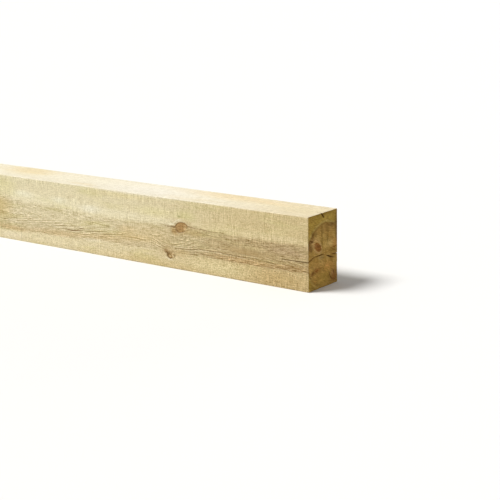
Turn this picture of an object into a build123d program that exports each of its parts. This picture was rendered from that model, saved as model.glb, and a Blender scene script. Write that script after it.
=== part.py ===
"""Railway sleeper: one length of rough-sawn, pressure-treated softwood, lying on its narrow edge.

Frame, in millimetres: +X runs along the length towards the end whose grain shows, -Y faces out of
the front long face, and +Z is up. The origin is the middle of the bed face, at floor level.

The timber is sawn from the heart of the log, so the pith runs through it. One end has dried out:
drying checks open from the pith to the front and back faces, and a small split opens in the top
arris. Each check is a thin pyramid with its base in the end face, so it closes to a point as it runs
into the timber.
"""

import os

from build123d import *

# Sawn section and stock length
sleeper_length = 2400.0
sleeper_height = 200.0
sleeper_thickness = 135.0

# Edges: the long arrises are worn round by handling, the end ones are left by the cross-cut saw
long_arris_radius = 2.0
end_arris_chamfer = 0.8

# Pith, measured on the end face
pith_from_front = 78.0
pith_above_bed = 85.0

# Check from the pith to the front face, bowed up between them
front_check_mouth_above_bed = 80.0
front_check_bow = 5.5
front_check_middle_width = 1.8
front_check_mouth_width = 1.3
front_check_run = 86.0

# Check from the pith towards the back face, which closes before it gets there
back_check_reach = 36.0
back_check_fall = 12.0
back_check_width = 2.4
back_check_run = 60.0

# Short check that comes in from the back face, level with the pith
edge_check_reach = 22.0
edge_check_mouth_above_bed = 80.0
edge_check_width = 1.2
edge_check_run = 70.0

# Split in the top arris, which leans back and opens as it goes down
top_split_from_front = 61.0
top_split_depth = 12.0
top_split_lean = 10.0
top_split_mouth_width = 1.8
top_split_foot_width = 3.0
top_split_run = 16.0

# The two long checks stop this far from the pith, and each cutter stands this far out of the timber
pith_gap = 4.0
overcut = 1.0

front_y = -sleeper_thickness / 2
back_y = sleeper_thickness / 2
end_x = sleeper_length / 2
pith_y = front_y + pith_from_front


def cut_check(outline, closed_end, run):
    """Cuts a pyramid out of the timber's end.

    Its base is the outline of the check in the end face, and its apex is closed_end, run further
    in. Both are given as (y, z) points.
    """
    with BuildSketch(Plane.YZ.offset(end_x + overcut)) as mouth:
        with BuildLine():
            Polyline(*outline, close=True)
        make_face()
    apex = Vertex(end_x - run, *closed_end)
    loft([mouth.sketch.face(), apex], ruled=True, mode=Mode.SUBTRACT)


def midpoint(start, finish, rise=0.0):
    """The point halfway between two (y, z) points, lifted by rise."""
    return ((start[0] + finish[0]) / 2, (start[1] + finish[1]) / 2 + rise)


def upper_and_lower(point, width):
    """The two sides of a check that runs across the section, at one point of its line."""
    return (point[0], point[1] + width / 2), (point[0], point[1] - width / 2)


def cut_front_check():
    """Starts as a point beside the pith and opens in the front face, where it runs furthest in."""
    start = (pith_y - pith_gap, pith_above_bed)
    mouth = (front_y - overcut, front_check_mouth_above_bed)
    middle = midpoint(start, mouth, front_check_bow)
    upper_middle, lower_middle = upper_and_lower(middle, front_check_middle_width)
    upper_mouth, lower_mouth = upper_and_lower(mouth, front_check_mouth_width)
    cut_check([start, upper_middle, upper_mouth, lower_mouth, lower_middle], mouth, front_check_run)


def cut_back_check():
    """A long diamond that falls towards the back face, inside the section all the way."""
    start = (pith_y + pith_gap, pith_above_bed)
    finish = (start[0] + back_check_reach, start[1] - back_check_fall)
    upper_middle, lower_middle = upper_and_lower(midpoint(start, finish), back_check_width)
    cut_check([start, upper_middle, finish, lower_middle], start, back_check_run)


def cut_edge_check():
    """Opens in the back face and closes level with its mouth."""
    mouth = (back_y + overcut, edge_check_mouth_above_bed)
    finish = (back_y - edge_check_reach, edge_check_mouth_above_bed)
    cut_check([finish, *upper_and_lower(mouth, edge_check_width)], mouth, edge_check_run)


def cut_top_split():
    """Down from the top arris, widest at its foot."""
    mouth = (front_y + top_split_from_front, sleeper_height + overcut)
    foot = (mouth[0] + top_split_lean, sleeper_height - top_split_depth)
    half_mouth = top_split_mouth_width / 2
    half_foot = top_split_foot_width / 2
    outline = [
        (mouth[0] - half_mouth, mouth[1]),
        (mouth[0] + half_mouth, mouth[1]),
        (foot[0] + half_foot, foot[1]),
        (foot[0] - half_foot, foot[1]),
    ]
    cut_check(outline, mouth, top_split_run)


with BuildPart() as sleeper:
    with BuildSketch(Plane.YZ.offset(-end_x)):
        with Locations((0, sleeper_height / 2)):
            Rectangle(sleeper_thickness, sleeper_height)
    extrude(amount=sleeper_length)
    fillet(sleeper.edges().filter_by(Axis.X), radius=long_arris_radius)
    chamfer(
        [edge for end in sleeper.faces().filter_by(Axis.X) for edge in end.edges()],
        length=end_arris_chamfer,
    )
    cut_front_check()
    cut_back_check()
    cut_edge_check()
    cut_top_split()

sleeper.part.label = "sleeper"
os.makedirs("parts", exist_ok=True)
export_step(sleeper.part, "parts/sleeper.step")
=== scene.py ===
"""Looks of one railway sleeper: rough-sawn, pressure-treated softwood, cut from the heart of a log.

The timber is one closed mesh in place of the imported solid. Its arrises are rounded, its faces carry
the marks of the saw, drying checks are cut into one end, and two short splits into the front face.
Colour and grain come from one field, the log: rings round a wandering pith, bent aside by knots, in
heartwood and sapwood. The long faces and the sawn ends show the same log, cut along and across.

Shading works in timber millimetres: x from the checked end (0) to the plain end (-length), y from
the front face and z above the bed.
"""

import math
import random

import bmesh
import bpy
import numpy as np
from mathutils import Matrix, Vector


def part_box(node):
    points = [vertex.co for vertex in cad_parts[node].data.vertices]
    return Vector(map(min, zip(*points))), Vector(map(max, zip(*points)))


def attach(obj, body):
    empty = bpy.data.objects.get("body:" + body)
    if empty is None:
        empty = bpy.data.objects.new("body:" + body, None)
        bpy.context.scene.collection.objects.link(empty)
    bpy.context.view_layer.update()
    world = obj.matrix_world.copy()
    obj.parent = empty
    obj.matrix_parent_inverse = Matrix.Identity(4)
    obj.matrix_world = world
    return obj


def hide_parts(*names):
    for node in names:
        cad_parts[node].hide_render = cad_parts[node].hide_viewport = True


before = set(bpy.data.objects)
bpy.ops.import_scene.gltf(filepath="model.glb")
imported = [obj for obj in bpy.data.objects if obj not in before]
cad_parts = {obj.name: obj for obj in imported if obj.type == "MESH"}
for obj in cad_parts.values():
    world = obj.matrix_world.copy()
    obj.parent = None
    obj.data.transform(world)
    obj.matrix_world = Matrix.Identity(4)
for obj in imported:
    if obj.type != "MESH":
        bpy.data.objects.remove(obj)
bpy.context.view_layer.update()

MM = 0.001

# Size of the timber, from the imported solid
timber_low, timber_high = (Vector(corner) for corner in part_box("sleeper"))
length, thickness, height = (timber_high - timber_low) / MM

# Pith, and the heartwood around it, which isn't quite concentric with the rings: timber
# millimetres along the length
pith_across = [(0, 79.5), (-60, 82.5), (-100, 84.5), (-185, 87.3), (-345, 88), (-375, 87), (-400, 85.2),
               (-430, 85), (-455, 83.5), (-490, 83.7), (-540, 87.5), (-625, 88.9), (-700, 86), (-800, 81.8),
               (-905, 77.5), (-1000, 73.3), (-1075, 68.5), (-1150, 60.5), (-1600, 61), (-2400, 56)]
pith_above = [(0, 85.5), (-170, 88), (-345, 90), (-600, 96), (-800, 98), (-1000, 100), (-1150, 102),
              (-1700, 98), (-2400, 98)]
heart_above = [(0, 85.5), (-185, 84.3), (-345, 84.5), (-430, 83.5), (-540, 84.3), (-625, 82.5),
               (-700, 82), (-800, 79.5), (-900, 80.5), (-1000, 80.5), (-1075, 82), (-1150, 85),
               (-1700, 92), (-2400, 98)]
heart_reach = [(0, 87.1), (-100, 91.9), (-185, 94.7), (-345, 95.7), (-400, 94), (-455, 92), (-490, 91),
               (-540, 94.4), (-625, 96.3), (-700, 93.2), (-800, 90.6), (-905, 88.8), (-1000, 85.2),
               (-1075, 82.4), (-1110, 82), (-1150, 82.1), (-1700, 84), (-2400, 80)]

# What their curves are drawn between: across the timber, and upwards or outwards in it
across_range = (40, 100)
up_range = (60, 120)

# Sapwood and heartwood are deepest near the checked end and pale towards the middle: 1 is deepest
end_tone = [(0, 1.0), (-180, 0.92), (-420, 0.5), (-700, 0.16), (-1150, 0.04), (-1700, 0.3), (-2400, 0.2)]
ring_width = 2.3


class Field:
    """A number in a node tree. Arithmetic on it adds Math nodes, so that shading reads as formulas."""

    def __init__(self, tree, socket):
        self.tree = tree
        self.socket = socket

    def __add__(self, other):
        return calc("ADD", self, other)

    def __radd__(self, other):
        return calc("ADD", other, self)

    def __sub__(self, other):
        return calc("SUBTRACT", self, other)

    def __rsub__(self, other):
        return calc("SUBTRACT", other, self)

    def __mul__(self, other):
        return calc("MULTIPLY", self, other)

    def __rmul__(self, other):
        return calc("MULTIPLY", other, self)

    def __truediv__(self, other):
        return calc("DIVIDE", self, other)

    def __rtruediv__(self, other):
        return calc("DIVIDE", other, self)

    def __pow__(self, other):
        return calc("POWER", self, other)


def wire(tree, value, socket):
    """Links a field to a socket, or sets the socket to a plain value."""
    if isinstance(value, Field):
        tree.links.new(value.socket, socket)
    else:
        socket.default_value = value


def node(tree, kind, inputs=None, output=0, **settings):
    """Adds a node, fills its inputs by name or position, and returns one of its outputs."""
    made = tree.nodes.new(kind)
    for name, value in settings.items():
        setattr(made, name, value)
    for name, value in (inputs or {}).items():
        wire(tree, value, made.inputs[name])
    return Field(tree, made.outputs[output]) if made.outputs else made


def calc(operation, *values):
    tree = next(value.tree for value in values if isinstance(value, Field))
    return node(tree, "ShaderNodeMath", dict(enumerate(values)), operation=operation)


def clamped(value):
    """Held between 0 and 1. A node's own clamp would take more of the renderer's small stack."""
    return calc("MINIMUM", calc("MAXIMUM", value, 0.0), 1.0)


def vector_calc(operation, *values, output=0):
    tree = next(value.tree for value in values if isinstance(value, Field))
    return node(
        tree, "ShaderNodeVectorMath", dict(enumerate(values)), output=output, operation=operation
    )


def times(vector, amount):
    """A vector made longer or shorter by one number."""
    return node(vector.tree, "ShaderNodeVectorMath", {0: vector, "Scale": amount}, operation="SCALE")


def split(vector):
    """The x, y and z of a vector, as dot products: Separate XYZ nodes fill the renderer's stack here."""
    directions = ((1.0, 0.0, 0.0), (0.0, 1.0, 0.0), (0.0, 0.0, 1.0))
    return [vector_calc("DOT_PRODUCT", vector, direction, output=1) for direction in directions]


def combine(tree, x, y, z):
    return node(tree, "ShaderNodeCombineXYZ", {0: x, 1: y, 2: z})


# The torn grain of the ends runs across them and falls towards the back
torn_run = 0.93
torn_fall = 0.36


def on_torn_grain(tree, x, y, z):
    """The place turned so that its second axis lies along the torn grain of the ends."""
    return combine(tree, x, y * torn_run - z * torn_fall, z * torn_run + y * torn_fall)


def step(value, start, finish):
    """Goes smoothly from 0 at start to 1 at finish. A start above the finish makes it fall."""
    if start > finish:
        return 1.0 - step(value, finish, start)
    return node(
        value.tree,
        "ShaderNodeMapRange",
        {"Value": value, "From Min": start, "From Max": finish},
        interpolation_type="SMOOTHSTEP",
        clamp=False,
    )


def remap(value, low, high, new_low, new_high):
    return node(
        value.tree,
        "ShaderNodeMapRange",
        {"Value": value, "From Min": low, "From Max": high, "To Min": new_low, "To Max": new_high},
    )


def bell(value, middle, reach):
    """A soft bump of height 1 at the middle that falls to about a third one reach away."""
    offset = (value - middle) / reach
    return calc("POWER", math.e, offset * offset * -1.0)


def noise(place, detail=2.0, roughness=0.5, distortion=0.0, output=0):
    """Smooth noise of about 0 to 1 whose cells are one unit of the place across."""
    return node(
        place.tree,
        "ShaderNodeTexNoise",
        {
            "Vector": place,
            "Scale": 1.0,
            "Detail": detail,
            "Roughness": roughness,
            "Distortion": distortion,
        },
        output=output,
    )


def cells(place, reach, shift=(0.0, 0.0, 0.0)):
    """The place in cells that measure reach, for noise that is longer one way than another."""
    shifted = vector_calc("ADD", place, Vector(shift))
    return vector_calc("DIVIDE", shifted, Vector(reach))


def curve_along(x, stops, low, high, start=-length, finish=0.0, handles="AUTO"):
    """A curve through (place, value) stops, which run from start to finish and from low to high."""
    run = finish - start
    made = x.tree.nodes.new("ShaderNodeFloatCurve")
    wire(x.tree, (x - start) / run, made.inputs["Value"])
    curve = made.mapping.curves[0]
    scaled = sorted(((place - start) / run, (value - low) / (high - low)) for place, value in stops)
    while len(curve.points) < len(scaled):
        curve.points.new(0.5, 0.5)
    for point, (where, value) in zip(curve.points, scaled):
        point.location = (where, value)
        point.handle_type = handles
    made.mapping.update()
    return Field(x.tree, made.outputs[0]) * (high - low) + low


def colour(red, green, blue):
    """A colour given as it looks on screen, 0 to 255, turned into the linear light nodes work in."""
    parts = []
    for part in (red, green, blue):
        value = part / 255
        parts.append(value / 12.92 if value <= 0.04045 else ((value + 0.055) / 1.055) ** 2.4)
    return (*parts, 1.0)


def paint(base, over, amount, blend="MIX"):
    """Lays one colour over another by an amount from 0 to 1."""
    tree = next(value.tree for value in (base, over, amount) if isinstance(value, Field))
    made = tree.nodes.new("ShaderNodeMix")
    made.data_type = "RGBA"
    made.blend_type = blend
    made.clamp_factor = True
    wire(tree, amount, made.inputs[0])
    wire(tree, base, made.inputs[6])
    wire(tree, over, made.inputs[7])
    return Field(tree, made.outputs[2])


def shade(base, relief):
    """Lightens a colour where the relief is above 0 and darkens it below.

    This paints the light and shade of the relief into the colour: hollows keep their yellow and high spots
    turn greyer.
    """
    factor = combine(base.tree, relief * 0.9 + 1.0, relief + 1.0, relief * 1.35 + 1.0)
    return vector_calc("MULTIPLY", base, factor)


def new_group(name, inputs, outputs):
    """A shader node group with named sockets; returns the tree and its inputs as fields."""
    tree = bpy.data.node_groups.new(name, "ShaderNodeTree")
    sockets = {"float": "NodeSocketFloat", "vector": "NodeSocketVector", "colour": "NodeSocketColor"}
    for label, form in inputs:
        tree.interface.new_socket(label, in_out="INPUT", socket_type=sockets[form])
    for label, form in outputs:
        tree.interface.new_socket(label, in_out="OUTPUT", socket_type=sockets[form])
    entry = tree.nodes.new("NodeGroupInput")
    return tree, {label: Field(tree, entry.outputs[label]) for label, _ in inputs}


def close_group(tree, results):
    made = tree.nodes.new("NodeGroupOutput")
    for label, value in results.items():
        wire(tree, value, made.inputs[label])
    return tree


def use_group(tree, group, inputs):
    """Adds a group node and returns its outputs by name."""
    made = tree.nodes.new("ShaderNodeGroup")
    made.node_tree = group
    for name, value in inputs.items():
        wire(tree, value, made.inputs[name])
    return {socket.name: Field(tree, socket) for socket in made.outputs}


# Knots: each grows out from the pith. Root and tip are timber millimetres, the girth is its radius
# at the tip, squeeze is under 1 where it is drawn out along the length, lean tips it up towards the
# checked end, taper narrows it that way, and swirl is how far it pushes the rings outwards.
knot_traits = ("Root", "Tip", "Girth", "Squeeze", "Lean", "Taper", "Swirl")
knots = [
    ((-434, 84, 86), (-425, 0, 120.5), 14.0, 0.64, 0.2, 0.012, 10.0),
    ((-462, 84, 82), (-467, 0, 34.5), 4.6, 0.6, -0.2, 0.0, 5.0),
    ((-30, 78, 85), (12, 34, 121), 13.0, 1.0, 0.0, 0.0, 3.0),
    ((-450, 84, 84), (-440, 135, 60), 9.0, 0.8, 0.1, 0.01, 6.0),
    ((-1270, 77, 86), (-1262, 0, 70), 11.0, 0.8, -0.15, 0.01, 8.0),
    ((-1290, 77, 86), (-1300, 135, 128), 13.0, 0.75, 0.1, 0.012, 9.0),
    ((-1880, 66, 95), (-1872, 0, 152), 10.0, 0.8, 0.2, 0.01, 8.0),
    ((-1900, 66, 95), (-1905, 135, 74), 8.0, 0.8, -0.1, 0.0, 6.0),
]


def knot_group():
    """How near one knot is, in its radii and in millimetres, and how far it pushes the rings there."""
    tree, given = new_group(
        "knot",
        [("Place", "vector"), ("Root", "vector"), ("Tip", "vector"), ("Girth", "float"),
         ("Squeeze", "float"), ("Lean", "float"), ("Taper", "float"), ("Swirl", "float")],
        [("Nearness", "float"), ("Push", "float"), ("Depth", "float")],
    )
    line = vector_calc("SUBTRACT", given["Tip"], given["Root"])
    from_root = vector_calc("SUBTRACT", given["Place"], given["Root"])
    share = vector_calc("DOT_PRODUCT", from_root, line, output=1) / vector_calc(
        "DOT_PRODUCT", line, line, output=1
    )
    held = calc("MINIMUM", calc("MAXIMUM", share, 0.0), 1.3)
    x, y, z = split(vector_calc("SUBTRACT", from_root, times(line, held)))
    leant = (z - x * given["Lean"]) * (x * given["Taper"] + 1.0)
    squeezed = combine(tree, x * given["Squeeze"], y, leant)
    away = vector_calc("LENGTH", squeezed, output=1)
    radius = given["Girth"] * (held * 0.8 + 0.2)
    nearness = away / radius
    outside = calc("MAXIMUM", nearness - 0.8, 0.0)
    push = given["Swirl"] * calc("POWER", math.e, outside * outside * -0.22) * step(held, 0.05, 0.6)
    return close_group(tree, {"Nearness": nearness, "Push": push, "Depth": away})


def log_group():
    """The log that the timber was sawn from, at one place in it."""
    tree, given = new_group(
        "log",
        [("Place", "vector"), ("Facing", "vector")],
        [("Radius", "float"), ("Late", "float"), ("Pale", "float"),
         ("Heart", "float"), ("Heart edge", "float"), ("Knot", "float"), ("Knot rim", "float"),
         ("Knot halo", "float"), ("Knot ring", "float"), ("Flat", "float")],
    )
    place = given["Place"]
    x, y, z = split(place)

    wander = split(noise(cells(place, (330, 70, 70)), output=1))
    flutter = split(noise(cells(place, (48, 12, 12)), output=1))
    across = y - curve_along(x, pith_across, *across_range) + (wander[0] - 0.5) * 2.4
    above = z - curve_along(x, pith_above, *up_range) + (wander[1] - 0.5) * 4.0
    radius = calc("SQRT", across * across + above * above)
    outward = vector_calc("NORMALIZE", combine(tree, 0.0, across, above))
    facing = calc("ABSOLUTE", vector_calc("DOT_PRODUCT", given["Facing"], outward, output=1))
    flat_cut = step(facing, 0.955, 0.999)

    grown = knot_group()
    push = 0.0
    nearness = 9.0
    ring_depth = 0.0
    for knot in knots:
        found = use_group(tree, grown, {"Place": place, **dict(zip(knot_traits, knot))})
        push = found["Push"] + push
        inside = step(found["Nearness"], 1.2, 1.0)
        ring_depth = found["Depth"] * inside + ring_depth
        nearness = calc("MINIMUM", found["Nearness"], nearness)

    grown_radius = radius - push + (flutter[0] - 0.5) * 1.5
    good_years = noise(combine(tree, grown_radius / 9.0, 0.0, 0.0))
    ring = calc("FRACT", grown_radius / ring_width + good_years * 1.2)
    late_start = flat_cut * 0.42 + 0.36
    late = clamped((ring - late_start) / (0.94 - late_start)) * step(ring, 1.0, 0.93)
    pale = step(ring, 0.0, 0.05) * step(ring, 0.3, 0.1) * (1.0 - flat_cut * 0.6)

    edge = (wander[2] - 0.5) * 5.0 + (flutter[1] - 0.5) * 3.0
    heart_height = above + curve_along(x, pith_above, *up_range) - curve_along(x, heart_above, *up_range)
    heart_radius = calc("SQRT", across * across + heart_height * heart_height)
    to_edge = curve_along(x, heart_reach, *up_range) - heart_radius + push * 0.5 + edge
    heart = step(to_edge, -1.4, 1.8)

    ragged = nearness + (flutter[2] - 0.5) * 0.24
    knot_ring = calc("FRACT", ring_depth / 2.1 + flutter[1] * 0.8)
    return close_group(
        tree,
        {
            "Radius": radius,
            "Late": late,
            "Pale": pale,
            "Heart": heart,
            "Heart edge": to_edge,
            "Knot": step(ragged, 1.06, 0.94),
            "Knot rim": bell(ragged, 1.0, 0.1),
            "Knot halo": bell(ragged, 1.3, 0.35),
            "Knot ring": knot_ring,
            "Flat": flat_cut,
        },
    )


def patch_group():
    """A soft-edged patch around a middle, 1 inside and 0 outside."""
    tree, given = new_group(
        "patch",
        [("Place", "vector"), ("Middle", "vector"), ("Reach", "vector"), ("Turn", "float"),
         ("Edge", "float")],
        [("Amount", "float")],
    )
    offset = vector_calc("SUBTRACT", given["Place"], given["Middle"])
    x, y, z = split(offset)
    cosine = calc("COSINE", given["Turn"])
    sine = calc("SINE", given["Turn"])
    turned = combine(tree, x * cosine + z * sine, y, z * cosine - x * sine)
    far = vector_calc("LENGTH", vector_calc("DIVIDE", turned, given["Reach"]), output=1)
    amount = node(
        tree,
        "ShaderNodeMapRange",
        {"Value": far, "From Min": 1.0 - given["Edge"], "From Max": 1.0 + given["Edge"],
         "To Min": 1.0, "To Max": 0.0},
        interpolation_type="SMOOTHSTEP",
        clamp=False,
    )
    return close_group(tree, {"Amount": amount})


def stroke_group():
    """One straight stretch of a drawn line, tapered from its start to its finish: 1 on it, 0 off it."""
    tree, given = new_group(
        "stroke",
        [("Place", "vector"), ("Start", "vector"), ("Finish", "vector"), ("Start width", "float"),
         ("Finish width", "float")],
        [("Amount", "float")],
    )
    line = vector_calc("SUBTRACT", given["Finish"], given["Start"])
    from_start = vector_calc("SUBTRACT", given["Place"], given["Start"])
    reach = vector_calc("DOT_PRODUCT", line, line, output=1)
    share = clamped(vector_calc("DOT_PRODUCT", from_start, line, output=1) / reach)
    away = vector_calc("DISTANCE", from_start, times(line, share), output=1)
    width = given["Start width"] + (given["Finish width"] - given["Start width"]) * share
    return close_group(tree, {"Amount": step(away / width, 1.5, 0.5)})


log = log_group()
patch = patch_group()
stroke = stroke_group()


def timber_place(tree):
    """Object coordinates turned into timber millimetres."""
    found = node(tree, "ShaderNodeTexCoord", output="Object")
    return node(
        tree,
        "ShaderNodeMapping",
        {"Vector": found, "Location": (-length / 2, thickness / 2, 0.0), "Scale": (1 / MM,) * 3},
    )


def patches_over(base, place, marks):
    """Paints a list of given marks: middle, reach, turn in degrees, edge, colour, strength."""
    tree = base.tree
    for middle, reach, turn, edge, tint, strength in marks:
        found = use_group(
            tree,
            patch,
            {"Place": place, "Middle": middle, "Reach": reach, "Turn": math.radians(turn), "Edge": edge},
        )
        base = paint(base, colour(*tint), found["Amount"] * strength)
    return base


def lines_over(base, place, lines, on_end=False):
    """Paints drawn lines: colour, strength and points (along, above, half width) in millimetres.

    Along is timber x on the front face, or timber y on the checked end.
    """
    tree = base.tree
    for tint, strength, points in lines:
        shown = None
        for start, finish in zip(points, points[1:]):
            ends = [(0.0, spot[0], spot[1]) if on_end else (spot[0], 0.0, spot[1])
                    for spot in (start, finish)]
            found = use_group(
                tree,
                stroke,
                {"Place": place, "Start": ends[0], "Finish": ends[1], "Start width": start[2],
                 "Finish width": finish[2]},
            )["Amount"]
            shown = found if shown is None else calc("MAXIMUM", shown, found)
        base = paint(base, colour(*tint), shown * strength)
    return base


def marked_group(name, marks, lines=(), on_end=False):
    """A group that lays marks, and then lines, over a base colour."""
    tree, given = new_group(name, [("Base", "colour"), ("Place", "vector")], [("Colour", "colour")])
    patched = patches_over(given["Base"], given["Place"], marks)
    return close_group(tree, {"Colour": lines_over(patched, given["Place"], lines, on_end)})


def with_marks(base, place, group):
    """A base colour with the marks of such a group laid over it."""
    return use_group(base.tree, group, {"Base": base, "Place": place})["Colour"]


def new_material(name):
    made = bpy.data.materials.new(name)
    made.use_nodes = True
    made.node_tree.nodes.clear()
    return made, made.node_tree


def finish_material(tree, base, roughness, heights, specular):
    """Closes a material: heights are (field, depth in millimetres) pairs that become bump."""
    relief = 0.0
    for field, depth in heights:
        relief = field * depth + relief
    normal = node(tree, "ShaderNodeBump", {"Height": relief, "Distance": MM, "Strength": 1.0})
    shader = node(
        tree,
        "ShaderNodeBsdfPrincipled",
        {"Base Color": base, "Roughness": roughness, "Normal": normal, "Specular IOR Level": specular},
    )
    node(tree, "ShaderNodeOutputMaterial", {"Surface": shader})


# Marks on the front face: middle, reach, turn in degrees, edge, colour, strength
front_marks = [
    # tan heartwood that comes to the face near the middle of the length
    ((-1164, 0, 104), (54, 60, 36), 0, 0.7, (199, 177, 123), 0.85),
    # pale sapwood just above the heartwood
    ((-960, 0, 141), (200, 12, 13), 0, 0.7, (230, 221, 189), 0.5),
    ((-640, 0, 133), (200, 12, 12), 0, 0.7, (229, 219, 186), 0.5),
    ((-190, 0, 132), (170, 12, 9), 0, 0.7, (217, 200, 156), 0.6),
    # painted highlights on the wood pushed up beside the big knot
    ((-460, 0, 126), (9, 8, 3), 8, 0.8, (232, 222, 186), 0.7),
    ((-431, 0, 140), (11, 8, 3.5), 4, 0.8, (234, 224, 190), 0.6),
    # yellow-brown mottling low down
    ((-110, 0, 24), (84, 10, 16), 0, 0.8, (182, 152, 94), 0.4),
    ((-560, 0, 8), (170, 10, 12), 0, 0.9, (198, 174, 120), 0.35),
    # clean pale wood low down between them
    ((-290, 0, 24), (100, 10, 18), 0, 0.9, (220, 208, 160), 0.5),
    # tan foot of the heartwood
    ((-900, 0, 46), (110, 10, 9), 2, 0.8, (202, 176, 128), 0.55),
    ((-1100, 0, 38), (60, 10, 7), -3, 0.8, (198, 170, 122), 0.55),
    ((-190, 0, 56), (130, 10, 7), 0, 0.8, (178, 146, 96), 0.6),
    ((-425, 0, 51), (26, 8, 7), 0, 0.8, (186, 160, 106), 0.5),
    # grey-violet upper half of the heartwood near the end
    ((-60, 0, 103), (70, 10, 13), 0, 0.8, (178, 152, 118), 0.5),
    # brown stain beside the big knot, and the smooth brown patch in the heartwood
    ((-451, 0, 108), (12, 12, 9), -20, 0.8, (158, 128, 76), 0.95),
    ((-386, 0, 111), (34, 10, 10), 0, 0.8, (186, 160, 104), 0.5),
    ((-200, 0, 80.5), (60, 10, 8), -2, 0.8, (170, 142, 92), 0.5),
    # yellow-green tints high up, and cooler pale spots
    ((-412, 0, 156), (32, 8, 13), 0, 0.9, (206, 198, 136), 0.5),
    ((-525, 0, 154), (56, 8, 12), 0, 0.9, (222, 212, 158), 0.5),
    ((-1128, 0, 166), (46, 8, 26), 0, 0.9, (220, 210, 156), 0.5),
    ((-650, 0, 188), (90, 8, 8), 0, 0.9, (224, 208, 156), 0.5),
    ((-768, 0, 134), (34, 8, 9), 0, 0.9, (233, 227, 204), 0.6),
    ((-766, 0, 40), (28, 8, 6), 0, 0.9, (228, 216, 184), 0.6),
    ((-1104, 0, 16), (46, 8, 10), 0, 0.9, (228, 216, 186), 0.5),
    # tan shading in the heartwood
    ((-545, 0, 84), (84, 8, 24), 0, 0.9, (206, 182, 130), 0.4),
    ((-628, 0, 92), (30, 8, 9), 0, 0.9, (196, 168, 114), 0.4),
    ((-610, 0, 73), (60, 8, 8), 0, 0.9, (206, 178, 122), 0.4),
    ((-700, 0, 58), (90, 8, 8), 2, 0.9, (204, 176, 124), 0.45),
    ((-40, 0, 60), (50, 8, 8), 0, 0.9, (166, 134, 84), 0.5),
    # the torn wood round the small knot
    ((-470, 0, 27), (12, 8, 3.5), -12, 0.8, (230, 218, 180), 0.6),
    ((-474, 0, 48), (20, 8, 13), -8, 0.9, (188, 158, 108), 0.5),
    ((-482, 0, 47), (8, 8, 5), -20, 0.8, (136, 106, 62), 0.7),
    ((-472, 0, 43), (10, 8, 4.4), -10, 0.8, (138, 108, 64), 0.8),
    ((-455, 0, 40), (9, 8, 4), -14, 0.9, (176, 148, 98), 0.6),
    ((-428, 0, 40), (17, 8, 3), -8, 0.9, (196, 170, 122), 0.5),
    # dark heartwood specks on the left
    ((-1058, 0, 37), (9, 8, 3.4), 6, 0.9, (160, 138, 96), 0.6),
    ((-1055, 0, 55), (3.4, 8, 3), 0, 0.9, (158, 136, 94), 0.6),
    # resin dot
    ((-431, 0, 151), (4.5, 6, 2.6), 0, 0.6, (150, 146, 92), 0.8),
    # clean pale wood high up on the left
    ((-1045, 0, 150), (34, 6, 9), 0, 0.9, (236, 230, 204), 0.6),
    ((-895, 0, 146), (26, 6, 9), 0, 0.9, (234, 228, 202), 0.55),
]

# Marks on the top: warm wood along the back of it in two places, darker wood near the checked end, and
# paler wood in between
top_marks = [
    ((-325, 106, 200), (150, 38, 6), 0, 0.8, (224, 196, 138), 0.5),
    ((-1095, 98, 200), (85, 50, 6), 0, 0.8, (226, 204, 150), 0.6),
    ((-80, 66, 200), (70, 36, 6), 0, 0.9, (216, 200, 154), 0.3),
    ((-575, 52, 200), (160, 60, 6), 0, 0.9, (238, 231, 215), 0.55),
]

# Marks on the knots of the front face, laid over the knot wood
knot_marks = [
    ((-424, 0, 122), (9, 8, 7), 0, 0.8, (150, 112, 64), 0.6),
    ((-409, 0, 121), (6, 8, 6.5), 20, 0.9, (198, 172, 122), 0.55),
    ((-476, 0, 38), (4.2, 6, 5.4), -20, 0.8, (112, 84, 42), 0.8),
    ((-468, 0, 35), (3.6, 6, 2.0), -15, 0.6, (206, 186, 138), 0.9),
    ((-457.5, 0, 36), (4.4, 6, 2.2), -15, 0.7, (212, 192, 148), 0.8),
]

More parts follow.
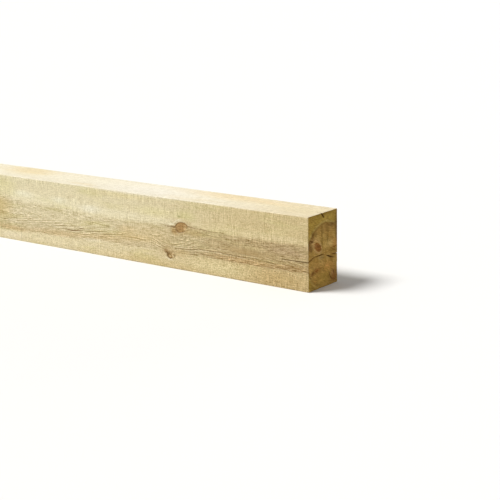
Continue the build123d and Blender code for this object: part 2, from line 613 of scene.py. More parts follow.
# Lines drawn on the front face: colour, strength and points (along, above, half width)
front_lines = [
    # bark rim of the big knot, which runs out along the grain
    ((120, 90, 46), 0.8,
     [(-452, 119, 0.9), (-446, 122, 2.0), (-440, 129, 1.4), (-432, 133.5, 1.0), (-420, 135.4, 1.0),
      (-411, 132.6, 0.8), (-400, 127, 1.0), (-386, 125.2, 1.2), (-375, 124.2, 0.8)]),
    ((128, 98, 54), 0.8, [(-378, 124.2, 0.8), (-352, 124, 1.1), (-320, 121.8, 0.9), (-276, 122, 0.4)]),
    ((106, 80, 40), 0.85, [(-486, 120.4, 0.3), (-464, 119.8, 1.1), (-449, 120, 1.6)]),
    # pale wood pushed up over the big knot, with a painted highlight on it
    ((240, 232, 202), 0.7, [(-468, 125, 0.5), (-454, 128, 1.2), (-446, 136, 1.3), (-434, 142, 1.2),
                            (-418, 144, 0.5)]),
    # dark lower rim of the big knot
    ((112, 82, 46), 0.8,
     [(-442, 120, 0.7), (-441, 111, 1.2), (-436, 107.4, 1.2), (-428, 107.6, 0.8), (-418, 109.4, 0.9),
      (-410, 113, 0.5)]),
    # small knot: its ring, and the curl beside it
    ((104, 78, 38), 0.9,
     [(-477, 37, 1.6), (-475, 31, 1.6), (-468, 27.8, 1.5), (-461, 29.4, 1.2), (-459.5, 33.5, 0.6)]),
    ((122, 94, 52), 0.8, [(-474, 40.5, 1.3), (-466, 39.8, 1.0), (-460.5, 36, 0.7)]),
    ((124, 96, 54), 0.9, [(-456, 40.4, 0.8), (-450.5, 38.6, 1.3), (-450.5, 34, 1.1), (-456, 32, 0.6)]),
    # painted shade along the long split, and along the front check where it runs out on the front face
    ((124, 92, 44), 0.7,
     [(-880, 62.6, 0.5), (-858, 61.4, 1.2), (-846, 60.8, 2.0), (-832, 61.8, 1.8), (-818, 64.0, 1.4),
      (-800, 66.2, 0.4)]),
    ((82, 58, 26), 0.8, [(1, 80, 1.2), (-30, 79.2, 1.1), (-60, 78.6, 0.9), (-98, 77.2, 0.3)]),
    # stop mark of the saw
    ((152, 132, 94), 0.6, [(-1063, 5, 1.0), (-1062.4, 44, 0.8)]),
]

# Grain lines that stand out on the front face: strength and points (along, above)
grain_lines = [
    # near the middle of the length, where they climb towards the checked end
    (0.8, [(-1160, 57), (-1130, 63), (-1110, 69), (-1085, 72), (-1068, 77)]),
    (0.6, [(-1160, 61), (-1138, 66.5), (-1106, 75)]),
    (0.5, [(-1150, 83), (-1130, 84), (-1106, 83)]),
    (0.5, [(-1084, 86), (-1066, 84.5), (-1048, 82.5)]),
    (0.6, [(-1052, 66), (-1030, 71), (-1008, 75.5)]),
    (0.6, [(-1026, 92.5), (-1000, 91.8), (-984, 90), (-970, 87.2), (-956, 87)]),
    (0.7, [(-1006, 67), (-980, 68.4), (-958, 71), (-940, 73.2), (-905, 77), (-880, 79.8)]),
    (0.9, [(-950, 61.5), (-922, 65), (-905, 68), (-888, 70.2), (-866, 73.5)]),
    (0.7, [(-915, 58), (-895, 60.5), (-875, 62.4), (-856, 62.8)]),
    (0.7, [(-842, 64), (-820, 67.2), (-796, 71.5)]),
    # from there to the small knot
    (0.8, [(-812, 53.5), (-780, 57), (-760, 60.5), (-742, 62.8)]),
    (0.6, [(-812, 47), (-780, 50.5), (-764, 52)]),
    (0.8, [(-796, 62.4), (-760, 68.5), (-740, 70), (-718, 73.6), (-694, 75.4)]),
    (1.0, [(-760, 61.8), (-725, 64.5), (-700, 67), (-670, 71), (-655, 73), (-640, 76), (-618, 79.8)]),
    (0.8, [(-746, 56), (-720, 57.5), (-700, 60), (-676, 62.8)]),
    (0.5, [(-726, 51.6), (-700, 54.2), (-684, 55)]),
    (0.6, [(-790, 97.4), (-760, 95), (-740, 94), (-720, 92), (-684, 89.6)]),
    (0.7, [(-632, 67.8), (-610, 70), (-595, 70.5), (-575, 69.5), (-550, 70.4)]),
    (0.6, [(-548, 77.5), (-520, 72.4), (-505, 66.5), (-486, 60)]),
    (0.5, [(-546, 67), (-522, 63), (-500, 57)]),
    (0.5, [(-552, 90), (-524, 86), (-505, 88.5), (-482, 92.6)]),
    # the bowl under the big knot, up and away from the small one
    (0.9, [(-462, 57.4), (-446, 63.8), (-430, 66), (-400, 66.2), (-388, 69.4), (-372, 72.6), (-340, 78)]),
    (0.8, [(-464, 53), (-440, 61), (-420, 61.6), (-395, 63), (-372, 66.4), (-356, 70.6)]),
    (0.8, [(-436, 71), (-418, 70), (-402, 75), (-385, 80), (-364, 86)]),
    (0.8, [(-478, 71.5), (-455, 69.8), (-440, 71.5), (-426, 76), (-412, 78.6), (-392, 85.6)]),
    (0.5, [(-444, 86), (-428, 84), (-414, 88), (-404, 96)]),
    (0.6, [(-384, 58.6), (-345, 57), (-318, 57.4), (-296, 55.4)]),
    (0.6, [(-352, 69.6), (-320, 68.4), (-296, 69.2), (-268, 66.8), (-246, 67.4)]),
    # towards the checked end
    (0.8, [(-232, 65.4), (-210, 66.2), (-185, 67.2), (-160, 66.4), (-140, 65), (-120, 63.4), (-88, 61)]),
    (0.5, [(-150, 71.6), (-120, 70), (-96, 66), (-60, 63.6)]),
    (0.5, [(-64, 71.8), (-34, 69), (-4, 65)]),
    # short torn ends at the foot and the head of the heartwood
    (0.8, [(-304, 55), (-290, 57.4), (-280, 58.8)]),
    (0.8, [(-304, 50), (-290, 52.4), (-280, 53.6)]),
    (0.9, [(-266, 49.8), (-248, 52.6), (-238, 53.6)]),
    (0.9, [(-236, 48.6), (-222, 51), (-210, 52.6)]),
    (1.0, [(-194, 49.6), (-184, 52), (-176, 54)]),
    (1.0, [(-174, 49), (-164, 51), (-154, 52.4)]),
    (0.9, [(-158, 54), (-148, 56), (-134, 57.6)]),
    (0.8, [(-114, 50), (-104, 53), (-92, 56)]),
    (0.9, [(-88, 51), (-78, 53), (-66, 54.6)]),
    (0.8, [(-112, 61), (-98, 58), (-82, 58.6)]),
    (0.9, [(-60, 50), (-48, 53), (-34, 54)]),
    (0.8, [(-54, 61), (-40, 59), (-26, 60.4)]),
    (0.8, [(-28, 52), (-16, 55), (-2, 56)]),
    (0.7, [(-108, 74.6), (-92, 72), (-72, 72.6)]),
    (0.6, [(-206, 104), (-192, 106), (-180, 109)]),
    (0.5, [(-204, 111), (-190, 114), (-178, 116)]),
    (0.6, [(-126, 108), (-112, 109.6), (-96, 112)]),
    (0.5, [(-92, 111.6), (-80, 114), (-68, 115)]),
]

# The stretch of the front face that has grain lines of its own, the least gap between two lines of one
# lane, and the share of a line's length over which each of its ends fades
grain_start = -1180.0
grain_finish = 20.0
lane_gap = 6.0
fade_share = 0.2


def grain_lanes():
    """Shares the grain lines out over lanes, so that the lines of a lane follow one another."""
    lanes = []
    for strength, points in sorted(grain_lines, key=lambda line: line[1][0][0]):
        start = points[0][0]
        free = [lane for lane in lanes if lane[-1][1][-1][0] < start - lane_gap]
        if free:
            free[0].append((strength, points))
        else:
            lanes.append([(strength, points)])
    return lanes


def front_grain_group():
    """How far the grain lines of the front face lighten or darken the wood at one place."""
    tree, given = new_group("front grain", [("Place", "vector"), ("Broken", "float")],
                            [("Relief", "float")])
    x, y, z = split(given["Place"])
    dark = 0.0
    pale = 0.0
    for lane in grain_lanes():
        heights = []
        strengths = []
        for strength, points in lane:
            heights += points
            start = points[0][0]
            finish = points[-1][0]
            fade = (finish - start) * fade_share
            strengths += [(start, 0.0), (start + fade, strength), (finish - fade, strength), (finish, 0.0)]
        low = min(above for _, above in heights)
        high = max(above for _, above in heights)
        line = curve_along(x, heights, low, high, grain_start, grain_finish, "AUTO_CLAMPED")
        shown = curve_along(x, strengths, 0.0, 1.0, grain_start, grain_finish, "VECTOR")
        offset = z - line
        dark = calc("MAXIMUM", bell(offset, 0.0, 1.3) * shown, dark)
        # a painted highlight along the lip above each dark line
        pale = calc("MAXIMUM", bell(offset, 3.0, 1.4) * shown, pale)
    # the lines are fainter towards the middle of the length
    fainter = remap(x, -1100.0, -750.0, 0.76, 1.0)
    on_front = step(y, 8.0, 3.0) * (given["Broken"] * 0.8 + 0.6) * fainter
    return close_group(tree, {"Relief": (pale * 0.4 - dark * 0.56) * on_front})


front_grain = front_grain_group()
front_marked = marked_group("front and top marks", front_marks + top_marks)
front_drawn = marked_group("front knots and lines", knot_marks, front_lines)


def frayed_place(place, reach, amount):
    """The place shaken a little, so that what is drawn there gets a rough edge."""
    shaken = vector_calc("SUBTRACT", noise(cells(place, reach), output=1), Vector((0.5,) * 3))
    return vector_calc("ADD", place, times(shaken, amount))


def sawn_face_material():
    made, tree = new_material("sawn face")
    place = timber_place(tree)
    facing = node(tree, "ShaderNodeTexCoord", output="Normal")
    grain = use_group(tree, log, {"Place": place, "Facing": facing})
    x, _, z = split(place)
    tone = curve_along(x, end_tone, 0, 1)
    on_top = step(z, height - 4, height - 0.5)

    # noise in cells that measure so many millimetres along, across and up
    big = noise(cells(place, (210, 40, 30)), detail=3.0, roughness=0.55)
    mottle = noise(cells(place, (34, 13, 13), (900, 0, 0)), detail=3.0, roughness=0.6)
    fibre = noise(cells(place, (36, 2.3, 2.3)), roughness=0.6)
    dashes = noise(cells(place, (15, 2.5, 2.5), (510, 0, 0)), roughness=0.6)
    scratches = noise(cells(place, (2.5, 17, 17), (120, 0, 0)))
    fuzz = noise(cells(place, (3.4, 2.9, 2.9), (70, 0, 0)), detail=1.0)
    flecks = noise(cells(place, (6.5, 3.8, 3.8), (240, 0, 0)))
    comb = noise(cells(place, (4.4, 34, 34), (31, 0, 0)), detail=1.0)
    saw_shows = step(noise(cells(place, (150, 50, 50), (310, 0, 0))), 0.4, 0.62)

    sap = paint(colour(226, 215, 178), colour(207, 187, 139), tone)
    sap = paint(sap, colour(208, 198, 138), step(big, 0.48, 0.72) * 0.6)
    sap = paint(sap, colour(196, 168, 112), step(mottle, 0.5, 0.72) * (tone * 0.14 + 0.07))
    sap = paint(sap, colour(185, 160, 111), step(z, 60, 40) * (tone * 0.4 + 0.15))
    # darker towards the foot: partly the wood's own colour, partly painted shade
    sap = paint(sap, colour(176, 150, 100), step(z, 20, 4) * (tone * 0.15 + 0.12))
    # the top is painted paler and greyer than the faces: painted light on the face the light falls on most
    top_sap_painted_paler = paint(colour(235, 226, 200), colour(226, 211, 176), step(x, -420, 0))
    top_sap_painted_paler = paint(top_sap_painted_paler, colour(230, 206, 152), step(big, 0.52, 0.76) * 0.4)
    sap = paint(sap, top_sap_painted_paler, on_top)

    # the heartwood fades out upwards, and ends cleanly at its foot
    softness = step(z, 60, 100) * 2.4 + 1.6
    heart = step(grain["Heart edge"] / softness, -0.9, 1.1)
    base = paint(sap, colour(218, 211, 203), heart * (tone * 0.6 + 0.4), "MULTIPLY")
    low_half = step(z, 112, 92) * 0.7 + 0.3
    ring_shows = step(mottle, 0.2, 0.55) * (heart * 0.8 + 0.2) * (low_half + on_top)
    ring_shows = ring_shows * (1.0 - grain["Flat"] * 0.6) * 0.75
    base = paint(base, colour(196, 180, 152), grain["Late"] * ring_shows, "MULTIPLY")
    base = paint(base, colour(244, 230, 194), grain["Pale"] * ring_shows * 0.5)

    base = with_marks(base, place, front_marked)
    rough_place = frayed_place(place, (7, 3, 3), 2.0)
    base = shade(base, use_group(tree, front_grain, {"Place": rough_place, "Broken": dashes})["Relief"])

    knot_wood = paint(colour(178, 146, 94), colour(142, 106, 58), step(grain["Knot ring"], 0.3, 0.95))
    base = paint(base, colour(190, 158, 104), grain["Knot halo"] * 0.3)
    base = paint(base, knot_wood, grain["Knot"])
    base = paint(base, colour(120, 90, 50), grain["Knot rim"] * 0.3)
    base = with_marks(base, rough_place, front_drawn)

    smooth_spot = use_group(
        tree, patch, {"Place": place, "Middle": (-200, 0, 80.5), "Reach": (60, 8, 8), "Edge": 0.7}
    )["Amount"]
    low = step(z, 56, 40)
    torn = heart * (tone * 0.25 + 0.26) + low * (tone * 0.3 + 0.35) + tone * 0.17 + 0.88
    torn = torn * (1.0 - smooth_spot * 0.6)
    # painted light and shade of the saw's cross marks, which show in patches, and more of them near the
    # checked end
    sawn = (saw_shows * 0.9 + tone * 0.25 + 0.3) * (1.0 - heart * 0.3 - low * 0.4)
    across = ((scratches - 0.5) * 0.4 + (comb - 0.5) * 0.6) * sawn
    spots = (fuzz - 0.5) * 0.85 + (flecks - 0.5) * 0.25 - step(flecks, 0.36, 0.24) * (tone * 0.15 + 0.12)
    along = (dashes - 0.5) * (heart * 0.3 + 0.5) + (fibre - 0.5) * (heart * 0.65 + 0.45)
    rough_tone = (across + spots) * (1.0 - on_top * 0.55) + along * (on_top * 0.2 + 1.0)
    # the rough surface painted as light and shade over the wood's own fibres and flecks
    base = shade(base, rough_tone * torn + 0.01)

    roughness = remap(fuzz, 0.3, 0.7, 0.72, 0.92)
    heights = [(grain["Late"], 0.35), (fibre, 0.9), (dashes, 0.8), (scratches, 0.3), (fuzz, 0.8),
               (flecks, 0.3)]
    finish_material(tree, base, roughness, heights, 0.25)
    return made


# Marks on the checked end: middle, reach, turn in degrees, edge, colour, strength. Left and right are
# as seen from outside, with the front face on the left
end_marks = [
    # brown edge of the heartwood: two blots on the left, and a deep band at the upper right
    ((0, 22, 147), (4, 6.5, 10), 8, 0.8, (106, 76, 28), 0.85),
    ((0, 36, 148), (4, 6, 9), 0, 0.9, (116, 86, 40), 0.6),
    ((0, 108, 163), (4, 24, 5), -17, 0.8, (110, 78, 30), 0.65),
    ((0, 88, 158), (4, 30, 12), -6, 0.9, (138, 106, 56), 0.45),
    # rays above the pith, and the pale wood between them
    ((0, 64, 138), (4, 3.8, 34), 2, 0.9, (124, 98, 42), 0.45),
    ((0, 90, 134), (4, 3.8, 22), -8, 0.9, (124, 98, 42), 0.5),
    ((0, 76, 124), (4, 8, 22), 0, 0.9, (192, 162, 88), 0.4),
    ((0, 47, 134), (4, 10, 11), 0, 0.9, (188, 156, 88), 0.45),
    # painted shade down the right edge, and along the top one
    ((0, 132, 146), (4, 8, 50), 0, 0.9, (100, 72, 28), 0.75),
    ((0, 66, 198), (4, 76, 5), 0, 0.9, (124, 96, 38), 0.5),
    # purple-brown wood on the left edge, and the dark spot above it
    ((0, 7, 120), (4, 15, 15), 0, 0.8, (110, 76, 34), 0.8),
    ((0, 15, 113), (4, 4, 6), 0, 0.9, (98, 66, 28), 0.6),
    ((0, 19, 132), (4, 7, 4.6), -18, 0.8, (88, 56, 14), 0.9),
    # reddish and dark blots low on the left
    ((0, 39, 51), (4, 13, 6.5), 0, 0.8, (136, 78, 32), 0.75),
    ((0, 19, 45), (4, 9, 6), 0, 0.8, (112, 70, 26), 0.75),
    ((0, 44, 64), (4, 16, 7), 0, 0.9, (192, 150, 82), 0.5),
    # orange and yellow wood low down
    ((0, 92, 52), (4, 24, 12), 0, 0.9, (214, 160, 84), 0.7),
    ((0, 66, 22), (4, 36, 20), 0, 0.9, (194, 156, 74), 0.7),
    ((0, 30, 26), (4, 18, 12), 0, 0.9, (170, 128, 60), 0.45),
    # purple-brown corner, with a pale patch in it
    ((0, 120, 18), (4, 17, 20), 0, 0.8, (152, 100, 50), 0.7),
    ((0, 110, 31), (4, 4.5, 7), 0, 0.9, (184, 140, 84), 0.75),
    # a pale band along the foot: painted light against the shade near the floor
    ((0, 66, 2), (4, 80, 6), 0, 0.9, (206, 166, 88), 0.6),
    # orange right edge, with the brown band under it
    ((0, 124, 110), (4, 14, 11), 0, 0.8, (208, 156, 86), 0.55),
    ((0, 100, 113), (4, 15, 9), 0, 0.8, (216, 182, 110), 0.65),
    ((0, 113, 94), (4, 17, 4.4), 3, 0.8, (140, 104, 40), 0.6),
    # grey heart of the pith
    ((0, 60, 82), (4, 12, 4), 0, 0.8, (138, 118, 76), 0.55),
]

# Marks on the knot of the checked end
end_knot_marks = [
    ((0, 34, 118), (4, 7, 4), -20, 0.9, (168, 122, 74), 0.45),
    ((0, 49, 114), (4, 8.5, 4.4), -24, 0.9, (108, 66, 28), 0.55),
    ((0, 53, 104.5), (4, 8, 2.6), 8, 0.8, (108, 68, 26), 0.65),
]

# Dark lines on the checked end: colour, strength and points (across, above, half width)
end_lines = [
    # dark bands along the checks
    ((112, 80, 28), 0.5, [(-1, 80, 1.2), (14, 84.5, 1.6), (30, 89.4, 1.6), (46, 89, 2.2),
                          (60, 89.6, 2.6), (74, 88, 1.2)]),
    ((92, 62, 16), 0.65, [(82, 83.6, 1.0), (92, 80, 2.4), (104, 75.4, 2.6), (120, 71.6, 0.8)]),
    ((92, 62, 16), 0.6, [(106, 82, 0.8), (120, 80.6, 1.8), (136, 79, 2.0)]),
    # rays
    ((112, 86, 32), 0.45, [(66, 104, 0.8), (64, 130, 1.8), (62, 152, 2.0), (60, 172, 1.0)]),
    ((112, 86, 32), 0.45, [(86, 106, 0.6), (89, 124, 1.7), (93, 148, 1.2)]),
    ((112, 80, 28), 0.6, [(71, 69, 0.6), (73, 58, 1.6), (69, 46, 1.0)]),
    # torn fibres right of the reddish blot
    ((110, 78, 28), 0.6, [(56, 57, 0.6), (63, 54, 1.2), (71, 50, 0.6)]),
    ((108, 76, 28), 0.6, [(60, 47, 0.6), (67, 45, 1.3), (77, 43, 0.6)]),
    ((112, 80, 30), 0.5, [(97, 71, 0.6), (105, 68, 1.3), (116, 64, 0.6)]),
    # streaks on the left and right edges
    ((88, 56, 16), 0.8, [(5, 135, 0.8), (13, 134, 1.8), (20, 131, 2.4), (26, 130, 0.8)]),
    ((124, 70, 22), 0.8, [(112, 102, 0.6), (120, 99.4, 1.8), (135, 101, 1.4)]),
    ((98, 68, 24), 0.65, [(3, 43, 0.8), (8, 36, 1.6), (14, 34, 0.6)]),
    # bark-edged pocket in the low corner
    ((98, 56, 20), 0.8, [(95, 37, 0.8), (98, 29, 1.9), (102, 21, 1.6), (110, 15, 0.8)]),
    ((92, 52, 20), 0.6, [(114, 38, 0.8), (118, 31, 2.0), (119, 24, 0.8)]),
    # shadow in the top split
    ((62, 40, 8), 0.9, [(61, 200, 1.6), (64.5, 195, 1.8), (68, 191.5, 2.6), (71.5, 188.6, 2.8)]),
]


end_marked = marked_group("end marks", end_marks)
end_drawn = marked_group("end knot and lines", end_knot_marks, end_lines, on_end=True)


def end_grain_material():
    made, tree = new_material("end grain")
    place = timber_place(tree)
    grain = use_group(tree, log, {"Place": place, "Facing": (1.0, 0.0, 0.0)})
    x, y, z = split(place)

    big = noise(cells(place, (60, 24, 24)), detail=3.0, roughness=0.6)
    pores = noise(cells(place, (6, 2.1, 2.6)), roughness=0.6)
    slope = on_torn_grain(tree, x, y, z)
    torn = noise(cells(slope, (6, 15, 3.2), (11, 5, 0)), roughness=0.6, distortion=0.4)
    angle = calc("ARCTAN2", z - pith_above[0][1], y - pith_across[0][1])
    rays = noise(combine(tree, angle * 9.0, grain["Radius"] / 60.0, 3.0), detail=3.0)

    sap = paint(colour(176, 146, 66), colour(160, 128, 56), step(big, 0.35, 0.65))
    heart = paint(colour(188, 151, 80), colour(166, 127, 60), step(big, 0.35, 0.65))
    base = paint(sap, heart, grain["Heart"])
    base = paint(base, colour(118, 88, 40), bell(grain["Heart edge"], 2.6, 2.4) * 0.55)
    base = paint(base, colour(194, 170, 100), bell(grain["Heart edge"], -3.0, 2.4) * 0.55)
    base = paint(base, colour(124, 96, 46), grain["Late"] * 0.3)
    base = paint(base, colour(118, 90, 42), step(rays, 0.54, 0.68) * grain["Heart"] * 0.45)
    base = paint(base, colour(196, 176, 128), step(x, -length + 500, -length + 300) * 0.45)
    base = with_marks(base, place, end_marked)

    knot_wood = paint(colour(158, 104, 48), colour(122, 74, 28), step(grain["Knot ring"], 0.3, 0.95))
    base = paint(base, colour(196, 158, 98), grain["Knot halo"] * 0.65)
    base = paint(base, knot_wood, grain["Knot"] * 0.85)
    base = with_marks(base, frayed_place(place, (5, 4, 4), 3.0), end_drawn)
    # painted light and shade of the torn grain and the pores
    base = shade(base, (torn - 0.5) * 1.4 + (pores - 0.5) * 1.7 + 0.1)

    heights = [(grain["Late"], 0.3), (pores, 0.7), (torn, 1.4)]
    finish_material(tree, base, 0.85, heights, 0.05)
    return made


def check_wall_material():
    made, tree = new_material("check wall")
    place = timber_place(tree)
    torn = noise(cells(place, (12, 2.2, 2.2)), detail=3.0, roughness=0.65)
    # the walls are painted darker than the wood round them: painted shade inside the checks
    base = paint(colour(138, 98, 36), colour(92, 62, 18), step(torn, 0.35, 0.65))
    finish_material(tree, base, 0.9, [(torn, 0.8)], 0.0)
    return made


sawn_face = sawn_face_material()
end_grain = end_grain_material()
check_wall = check_wall_material()

# The block, in metres: how far apart its grid lines are, and how close they come at the arrises
shown_step = 2.8 * MM
hidden_step = 5.0 * MM
section_step = 7.0 * MM
arris_lines = [0.0, 0.5 * MM, 1.2 * MM, 2.2 * MM, 3.6 * MM]
arris_round = Vector((0.9, 2.0, 2.0)) * MM

# How often the faces of the checked end are divided again, and how far from its plane they may lie
end_cuts = 2
plane_slack = 0.01 * MM


def grid_lines(low, high, spacing):
    """Places from low to high, about one spacing apart and closer at both ends."""
    start = low + arris_lines[-1]
    finish = high - arris_lines[-1]
    inner = np.linspace(start, finish, max(2, round((finish - start) / spacing) + 1))
    near_low = [low + line for line in arris_lines[:-1]]
    near_high = [high - line for line in reversed(arris_lines[:-1])]
    return np.array([*near_low, *inner, *near_high])


def lengthwise_lines():
    """Grid lines along the length, closer together on the half that ends in the checks."""
    middle = (timber_low.x + timber_high.x) / 2
    shown = grid_lines(middle, timber_high.x, shown_step)[len(arris_lines) - 1:]
    hidden = grid_lines(timber_low.x, middle, hidden_step)[:-len(arris_lines)]
    return np.concatenate([hidden, shown])


def block_mesh():
    """A box of quads with rounded arrises, closed and welded."""
    lines = [
        lengthwise_lines(),
        grid_lines(timber_low.y, timber_high.y, section_step),
        grid_lines(timber_low.z, timber_high.z, section_step),
    ]
    counts = [len(line) for line in lines]
    index = {}
    points = []

    def corner(i, j, k):
        key = (i, j, k)
        if key not in index:
            index[key] = len(points)
            points.append((lines[0][i], lines[1][j], lines[2][k]))
        return index[key]

    faces = []
    for axis in range(3):
        first, second = [other for other in range(3) if other != axis]
        for side in (0, counts[axis] - 1):
            for a in range(counts[first] - 1):
                for b in range(counts[second] - 1):
                    ring = []
                    for da, db in ((0, 0), (1, 0), (1, 1), (0, 1)):
                        spot = [0, 0, 0]
                        spot[axis] = side
                        spot[first] = a + da
                        spot[second] = b + db
                        ring.append(corner(*spot))
                    outward = (side > 0) == (axis != 1)
                    faces.append(ring if outward else ring[::-1])

    places = np.array(points)
    radii = np.array(arris_round)
    inner_low = np.array(timber_low) + radii
    inner_high = np.array(timber_high) - radii
    core = np.clip(places, inner_low, inner_high)
    outward = (places - core) / radii
    size = np.linalg.norm(outward, axis=1, keepdims=True)
    places = core + radii * outward / np.maximum(size, 1e-9)
    mesh = bpy.data.meshes.new("block")
    mesh.from_pydata(places.tolist(), [], faces)
    refine_end(mesh)
    return mesh


def refine_end(mesh):
    """Divides the faces of the checked end again, so that they can hold its torn grain."""
    work = bmesh.new()
    work.from_mesh(mesh)
    edge_band = arris_lines[-1]
    inner = [
        edge for edge in work.edges
        if all(
            corner.co.x > timber_high.x - plane_slack
            and timber_low.y + edge_band < corner.co.y < timber_high.y - edge_band
            and timber_low.z + edge_band < corner.co.z < timber_high.z - edge_band
            for corner in edge.verts
        )
    ]
    bmesh.ops.subdivide_edges(work, edges=inner, cuts=end_cuts, use_grid_fill=True)
    work.to_mesh(mesh)
    work.free()


def metre_noise(place, rates, detail=2.0):
    """Smooth noise with so many cells a metre along x, y and z."""
    return noise(vector_calc("MULTIPLY", place, Vector(rates)), detail=detail)


def sawing_tree():
    """Geometry Nodes: the wander of the faces, the marks of the saw and the wear of the arrises."""
    tree = bpy.data.node_groups.new("sawing", "GeometryNodeTree")
    tree.interface.new_socket("Geometry", in_out="INPUT", socket_type="NodeSocketGeometry")
    for label in ("Mark spacing", "Mark depth", "Mark lean", "Face wander", "Arris wear", "Torn depth",
                  "Length", "Thickness", "Height"):
        tree.interface.new_socket(label, in_out="INPUT", socket_type="NodeSocketFloat")
    tree.interface.new_socket("Seed", in_out="INPUT", socket_type="NodeSocketInt")
    tree.interface.new_socket("Geometry", in_out="OUTPUT", socket_type="NodeSocketGeometry")
    entry = tree.nodes.new("NodeGroupInput")
    given = {socket.name: Field(tree, socket) for socket in entry.outputs if socket.name}

    place = node(tree, "GeometryNodeInputPosition")
    normal = node(tree, "GeometryNodeInputNormal")
    x, y, z = split(place)
    facing = [calc("ABSOLUTE", part) for part in split(normal)]
    seeded = vector_calc("ADD", place, combine(tree, given["Seed"] * 1.37, 0.0, 0.0))

    wander = given["Face wander"] * metre_noise(seeded, (3.0, 9.0, 9.0))
    lean = x + (z + y) * given["Mark lean"]
    uneven = noise(combine(tree, x * 22.0, given["Seed"] * 3.1, 0.0), detail=1.0)
    turns = lean / given["Mark spacing"] + uneven * 1.6
    groove = calc("ABSOLUTE", calc("SINE", turns * math.pi)) ** 5.0
    shows = step(metre_noise(seeded, (5.0, 9.0, 12.0)), 0.35, 0.7)
    marks = given["Mark depth"] * groove * (shows * 0.8 + 0.2) * (1.0 - facing[0])

    edge_y = given["Thickness"] / 2.0 - calc("ABSOLUTE", y)
    edge_z = given["Height"] / 2.0 - calc("ABSOLUTE", z - given["Height"] / 2.0)
    edge_x = given["Length"] / 2.0 - calc("ABSOLUTE", x)
    near_yz = calc("MAXIMUM", edge_y, edge_z)
    near_xy = calc("MAXIMUM", edge_x, calc("MINIMUM", edge_y, edge_z))
    near = calc("MINIMUM", near_yz, near_xy)
    bitten = metre_noise(seeded, (60.0, 90.0, 90.0), detail=3.0)
    wear = given["Arris wear"] * step(near, 4.0 * MM, 0.0) * step(bitten, 0.5, 0.8)

    slope = on_torn_grain(tree, x, y, z)
    ridges = metre_noise(slope, (60.0, 55.0, 260.0))
    torn = given["Torn depth"] * step(ridges, 0.25, 0.75) * step(facing[0], 0.9, 1.0)

    inward = (wander + marks + wear + torn) * -1.0
    offset = times(normal, inward)
    moved = node(tree, "GeometryNodeSetPosition", {"Geometry": given["Geometry"], "Offset": offset})
    real = node(tree, "GeometryNodeRealizeInstances", {"Geometry": moved})
    sides = node(tree, "GeometryNodeSetMaterial", {"Geometry": real, "Material": sawn_face})
    at_end = calc("GREATER_THAN", facing[0], 0.9)
    ends = node(
        tree,
        "GeometryNodeSetMaterial",
        {"Geometry": sides, "Selection": at_end, "Material": end_grain},
    )
    leave = tree.nodes.new("NodeGroupOutput")
    tree.links.new(ends.socket, leave.inputs["Geometry"])
    return tree


def apply_modifiers(piece):
    """Turns what the modifiers make into the piece's own plain mesh."""
    evaluated = piece.evaluated_get(bpy.context.evaluated_depsgraph_get())
    mesh = bpy.data.meshes.new_from_object(evaluated)
    piece.modifiers.clear()
    piece.data = mesh


def add_object(name, mesh):
    piece = bpy.data.objects.new(name, mesh)
    bpy.context.scene.collection.objects.link(piece)
    return piece


def sawn_timber():
    piece = add_object("timber", block_mesh())
    sawing = sawing_tree()
    modifier = piece.modifiers.new("sawing", "NODES")
    modifier.node_group = sawing
    sizes = {
        "Mark spacing": 11.0 * MM,
        "Mark depth": 0.45 * MM,
        "Mark lean": 0.03,
        "Face wander": 0.5 * MM,
        "Arris wear": 1.6 * MM,
        "Torn depth": 0.7 * MM,
        "Length": length * MM,
        "Thickness": thickness * MM,
        "Height": height * MM,
        "Seed": 7,
    }
    for item in sawing.interface.items_tree:
        if item.in_out == "INPUT" and item.name in sizes:
            modifier[item.identifier] = sizes[item.name]
    apply_modifiers(piece)
    return piece


# Drying checks and splits: the face they open in, points of the line as (along the face, above,
# width) in timber millimetres, where it closes, and how far it runs into the timber
checks = {
    "front check": ("end", [(74, 88, 0.3), (67, 89.6, 1.6), (58, 89.4, 2.4), (49, 88.6, 2.0),
                            (40, 89.4, 1.1), (31, 89.6, 1.0), (22, 88.6, 1.2), (14, 84.5, 1.3),
                            (7, 81, 1.3), (-1, 80, 1.5)],
                    (-1, 79), 88),
    "back check": ("end", [(82, 83.6, 0.4), (88, 81.4, 1.8), (95, 79, 2.8), (102, 76.2, 2.4),
                           (109, 74.2, 1.3), (118, 72.4, 0.3)],
                   (84, 83), 60),
    "edge check": ("end", [(108, 81.8, 0.3), (116, 81.2, 1.1), (126, 80, 1.6), (136, 79.2, 1.8)],
                   (136, 79.6), 70),
    "top split": ("end", [(60, 201, 2.6), (63, 196, 2.8), (66.5, 192.5, 3.6), (71, 187.6, 6.0)],
                  (61.5, 200.5), 16),
    "long split": ("front", [(-868, 62.4, 0.2), (-858, 61.6, 0.5), (-851, 60.8, 1.1), (-845, 60.8, 1.5),
                             (-837, 61.6, 1.1), (-827, 63.0, 0.7), (-816, 64.6, 0.2)],
                   (-845, 60.4), 5),
    "knot split": ("front", [(-485, 48.8, 0.3), (-481, 46.2, 1.4), (-478, 42.6, 1.2), (-475, 37, 1.4),
                             (-472, 32, 0.3)],
                   (-478, 42), 3),
}


# How a check is cut: sections from the face inwards, how far the first stands proud of the face, how
# far a section strays up or down, the run from which it strays fully, and how the sections narrow
cutter_sections = 9
cutter_proud = 1.0
cutter_stray = 0.8
full_stray_run = 16
cutter_narrowing = 0.85

# Faces that turn by more than this meet in a sharp edge
sharp_turn = math.radians(38)


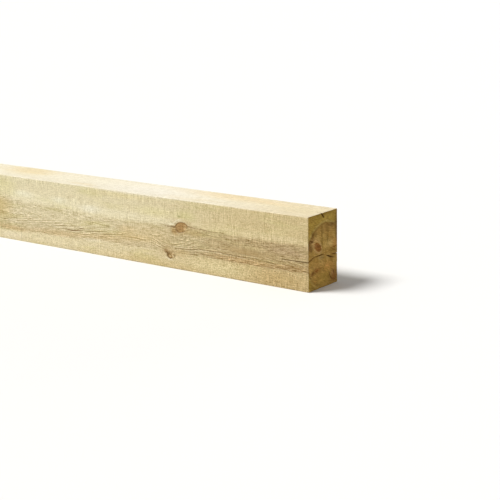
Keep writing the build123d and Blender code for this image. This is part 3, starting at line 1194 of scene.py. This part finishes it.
def check_cutter(name, face, line, closes, run):
    """A ragged pyramid: its base is the check in the face, and its apex is where it closes."""
    chance = random.Random(name)
    outline = []
    for side in (1, -1):
        stretch = line if side == 1 else line[::-1]
        for place, (along, above, width) in enumerate(stretch):
            before = stretch[max(place - 1, 0)]
            after = stretch[min(place + 1, len(stretch) - 1)]
            course = Vector((after[0] - before[0], after[1] - before[1])).normalized()
            if side == -1:
                course = -course
            out = Vector((-course.y, course.x)) * side * width / 2
            outline.append(Vector((along + out.x, above + out.y)))
    apex = Vector(closes)
    cutter = bmesh.new()
    rings = []
    for section in range(cutter_sections):
        share = section / cutter_sections
        proud = cutter_proud - (run + cutter_proud) * share
        stray = chance.uniform(-cutter_stray, cutter_stray) * share * min(1.0, run / full_stray_run)
        sway = Vector((0.0, stray))
        narrow = (1 - share) ** cutter_narrowing
        ring = []
        for spot in outline:
            moved = apex + (spot - apex) * narrow + sway
            ring.append(cutter.verts.new(face_point(face, moved.x, moved.y, proud)))
        rings.append(ring)
    tip = cutter.verts.new(face_point(face, *closes, -run))
    cutter.faces.new(rings[0])
    for ring, next_ring in zip(rings, rings[1:]):
        for place in range(len(outline)):
            beside = (place + 1) % len(outline)
            cutter.faces.new((ring[place], ring[beside], next_ring[beside], next_ring[place]))
    for place in range(len(outline)):
        beside = (place + 1) % len(outline)
        cutter.faces.new((rings[-1][place], rings[-1][beside], tip))
    bmesh.ops.triangulate(cutter, faces=cutter.faces[:])
    bmesh.ops.recalc_face_normals(cutter, faces=cutter.faces[:])
    mesh = bpy.data.meshes.new(name)
    cutter.to_mesh(mesh)
    cutter.free()
    mesh.materials.append(check_wall)
    return add_object(name, mesh)


def face_point(face, along, above, proud):
    """A place on the checked end or the front face, or proud of it, as a point of the frame."""
    if face == "end":
        return timber_point(proud, along, above)
    return timber_point(along, -proud, above)


def timber_point(along, across, above):
    """A place in timber millimetres as a point of the frame, in metres."""
    return (
        timber_high.x + along * MM,
        timber_low.y + across * MM,
        timber_low.z + above * MM,
    )


def cut_checks(piece):
    for name, (face, line, closes, run) in checks.items():
        cutter = check_cutter(name, face, line, closes, run)
        modifier = piece.modifiers.new(name, "BOOLEAN")
        modifier.operation = "DIFFERENCE"
        modifier.solver = "EXACT"
        modifier.material_mode = "TRANSFER"
        modifier.object = cutter
        apply_modifiers(piece)
        bpy.data.objects.remove(cutter)
    piece.data.shade_smooth()
    piece.data.set_sharp_from_angle(angle=sharp_turn)


timber = sawn_timber()
cut_checks(timber)
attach(timber, "root")
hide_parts("sleeper")


def stage_floor():
    """A wide, plain, pale floor."""
    mesh = bpy.data.meshes.new("floor")
    reach = 40.0
    mesh.from_pydata(
        [(-reach, -reach, 0), (reach, -reach, 0), (reach, reach, 0), (-reach, reach, 0)],
        [],
        [(0, 1, 2, 3)],
    )
    floor = add_object("floor", mesh)
    made, tree = new_material("floor")
    shader = node(
        tree,
        "ShaderNodeBsdfPrincipled",
        {"Base Color": colour(240, 239, 236), "Roughness": 0.9, "Specular IOR Level": 0.1},
    )
    node(tree, "ShaderNodeOutputMaterial", {"Surface": shader})
    mesh.materials.append(made)


def add_sun(name, energy, spread, direction):
    sun = bpy.data.lights.new(name, "SUN")
    sun.energy = energy
    sun.angle = math.radians(spread)
    lamp = bpy.data.objects.new(name, sun)
    lamp.rotation_euler = Vector(direction).to_track_quat("-Z", "Y").to_euler()
    bpy.context.scene.collection.objects.link(lamp)


def light_scene():
    """A broad, high key from the front, a low fill behind, and an even world that shows as white."""
    add_sun("key", energy=3.16, spread=24, direction=(0.45, 0.42, -0.9))
    add_sun("fill", energy=1.0, spread=30, direction=(0.15, -0.99, -0.02))

    world = bpy.data.worlds.new("studio")
    world.use_nodes = True
    bpy.context.scene.world = world
    tree = world.node_tree
    tree.nodes.clear()
    path = tree.nodes.new("ShaderNodeLightPath")
    seen = Field(tree, path.outputs["Is Camera Ray"])
    glossy = Field(tree, path.outputs["Is Glossy Ray"])
    clear = Field(tree, path.outputs["Is Transmission Ray"])
    shown = calc("MAXIMUM", calc("MAXIMUM", seen, glossy), clear)
    # the world lights the timber dimly, and shows as full white
    dim = 0.32
    level = shown * (1.0 - dim) + dim
    light = node(tree, "ShaderNodeBackground", {"Color": (1.0, 1.0, 1.0, 1.0), "Strength": level})
    node(tree, "ShaderNodeOutputWorld", {"Surface": light})


def place_camera():
    """The photograph's viewpoint, worked out from the edges of the timber."""
    camera = bpy.data.cameras.new("camera")
    camera.sensor_width = 36.0
    camera.lens = 94.8
    spot = Vector((3.063, -2.7685, 0.921))
    yaw = math.radians(37.21)
    pitch = math.radians(13.78)
    roll = math.radians(-1.0)
    turn = (
        Matrix.Rotation(yaw, 4, "Z")
        @ Matrix.Rotation(math.pi / 2 - pitch, 4, "X")
        @ Matrix.Rotation(roll, 4, "Z")
    )
    holder = bpy.data.objects.new("camera", camera)
    holder.matrix_world = Matrix.Translation(spot) @ turn
    bpy.context.scene.collection.objects.link(holder)
    bpy.context.scene.camera = holder


stage_floor()
light_scene()
place_camera()
bpy.context.scene.view_settings.view_transform = "Standard"
